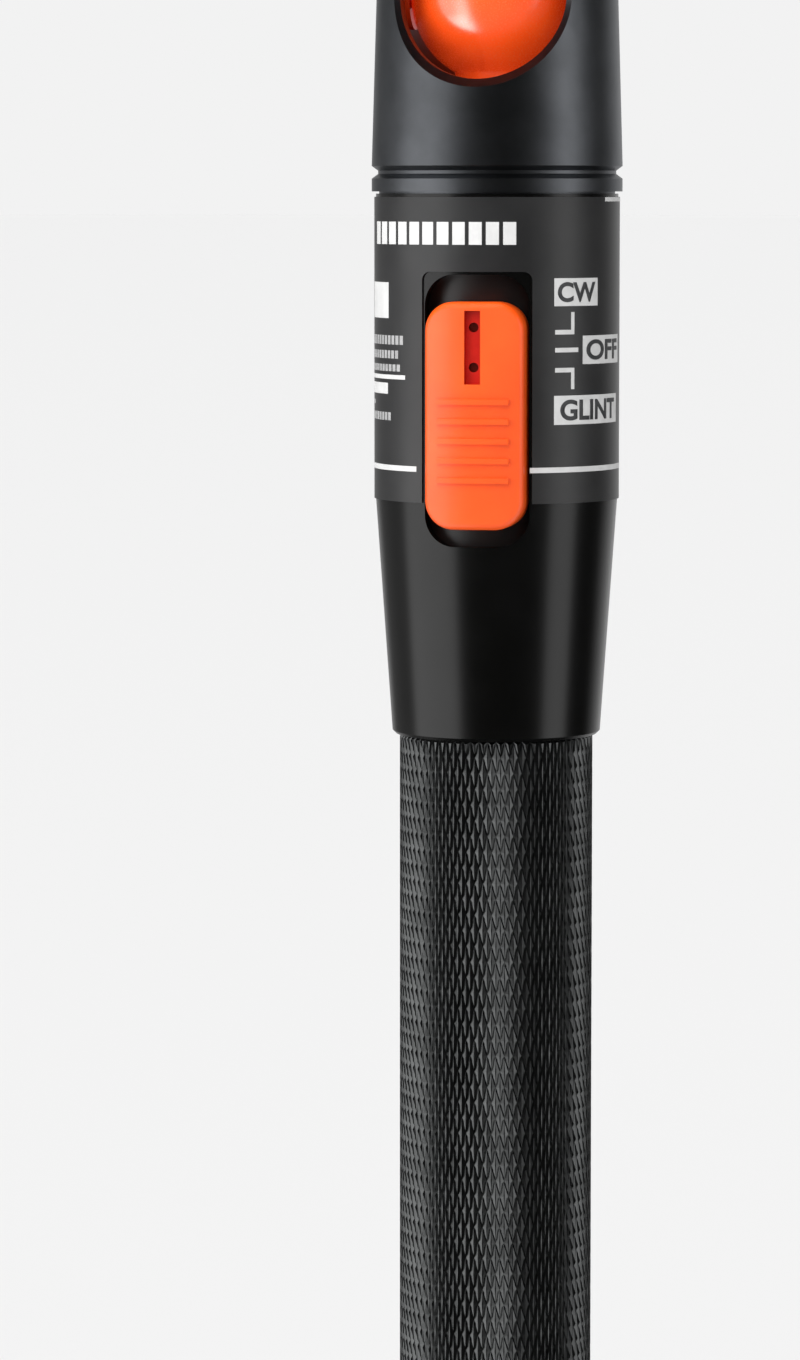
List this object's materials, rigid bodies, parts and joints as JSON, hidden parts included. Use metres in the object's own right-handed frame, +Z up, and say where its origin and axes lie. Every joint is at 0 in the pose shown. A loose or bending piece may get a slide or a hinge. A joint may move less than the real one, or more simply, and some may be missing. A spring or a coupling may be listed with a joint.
{
  "type": "visual fault locator",
  "caption": "Pen-shaped red laser source for tracing faults in optical fibre, with a thumb slide switch, knurled battery grip and a covered 2.5 mm ferrule port.",
  "frame": {"origin": "centre of the battery tube's flat rim, on which the pen stands", "axes": "+Z up along the pen from its foot to the port, -Y towards the thumb switch"},
  "size_m": [0.0236, 0.025, 0.1815],
  "materials": {
    "anodised_black": "satin black anodised",
    "head_black": "satin black, faintly blue",
    "gloss_black": "glossy black lacquer",
    "grip_black": "satin black, diamond knurled",
    "printed_film": "matte dark grey film with white printed marks",
    "orange_plastic": "glossy orange",
    "dark_plastic": "matte dark grey",
    "natural_plastic": "natural",
    "seal_rubber": "matte",
    "spring_steel": "bright",
    "pin_steel": "bright",
    "nickel_steel": "nickel plated",
    "contact_brass": "bright",
    "cell_jacket": "shrink sleeve",
    "board_green": "solder mask",
    "chip_black": "moulded",
    "capacitor_can": "bright",
    "zirconia": "polished white ceramic",
    "lens_glass": "polished"
  },
  "bodies": {
    "housing": {"grip_tube": "grip_black", "ground_ring": "contact_brass", "rear_cell": "cell_jacket", "front_cell": "cell_jacket", "front_contact": "contact_brass", "contact_insulator": "natural_plastic", "switch_housing": "gloss_black", "printed_sleeve": "printed_film", "slide_tray": "dark_plastic", "switch_case": "nickel_steel", "circuit_board": "board_green", "driver_chip": "chip_black", "capacitor": "capacitor_can", "collar": "head_black", "head_shell": "head_black", "port_guard": "orange_plastic", "pin_right": "pin_steel", "pin_left": "pin_steel", "port_nozzle": "nickel_steel", "split_sleeve": "zirconia", "laser_block": "contact_brass", "focus_lens": "lens_glass", "laser_diode": "nickel_steel"},
    "slider": {"thumb_button": "orange_plastic", "button_clip": "dark_plastic", "switch_knob": "chip_black"},
    "visor": {"port_visor": "orange_plastic"},
    "tail_seat": {"tail_seal": "seal_rubber", "tail_spring": "spring_steel"},
    "tail": {"tail_cap": "anodised_black"}
  },
  "joints": [
    {"name": "switch_slide", "type": "slide", "parent": "housing", "child": "slider", "axis": [0, 0, 1], "range_m": [-0.0016, 0.0016]},
    {"name": "visor_hinge", "type": "hinge", "parent": "housing", "child": "visor", "pos_m": [0, 0, 0.1695], "axis": [-1, 0, 0], "range_deg": [0, 98]},
    {"name": "tail_travel", "type": "slide", "parent": "housing", "child": "tail_seat", "axis": [0, 0, -1], "range_m": [0, 0.006]},
    {"name": "tail_turn", "type": "hinge", "parent": "tail_seat", "child": "tail", "pos_m": [0, 0, 0], "axis": [0, 0, -1], "range_deg": [0, 2160]}
  ],
  "couplings": [
    {"joint": "tail_travel", "follows": "tail_turn", "m_per_rad": 0.00015915}
  ]
}
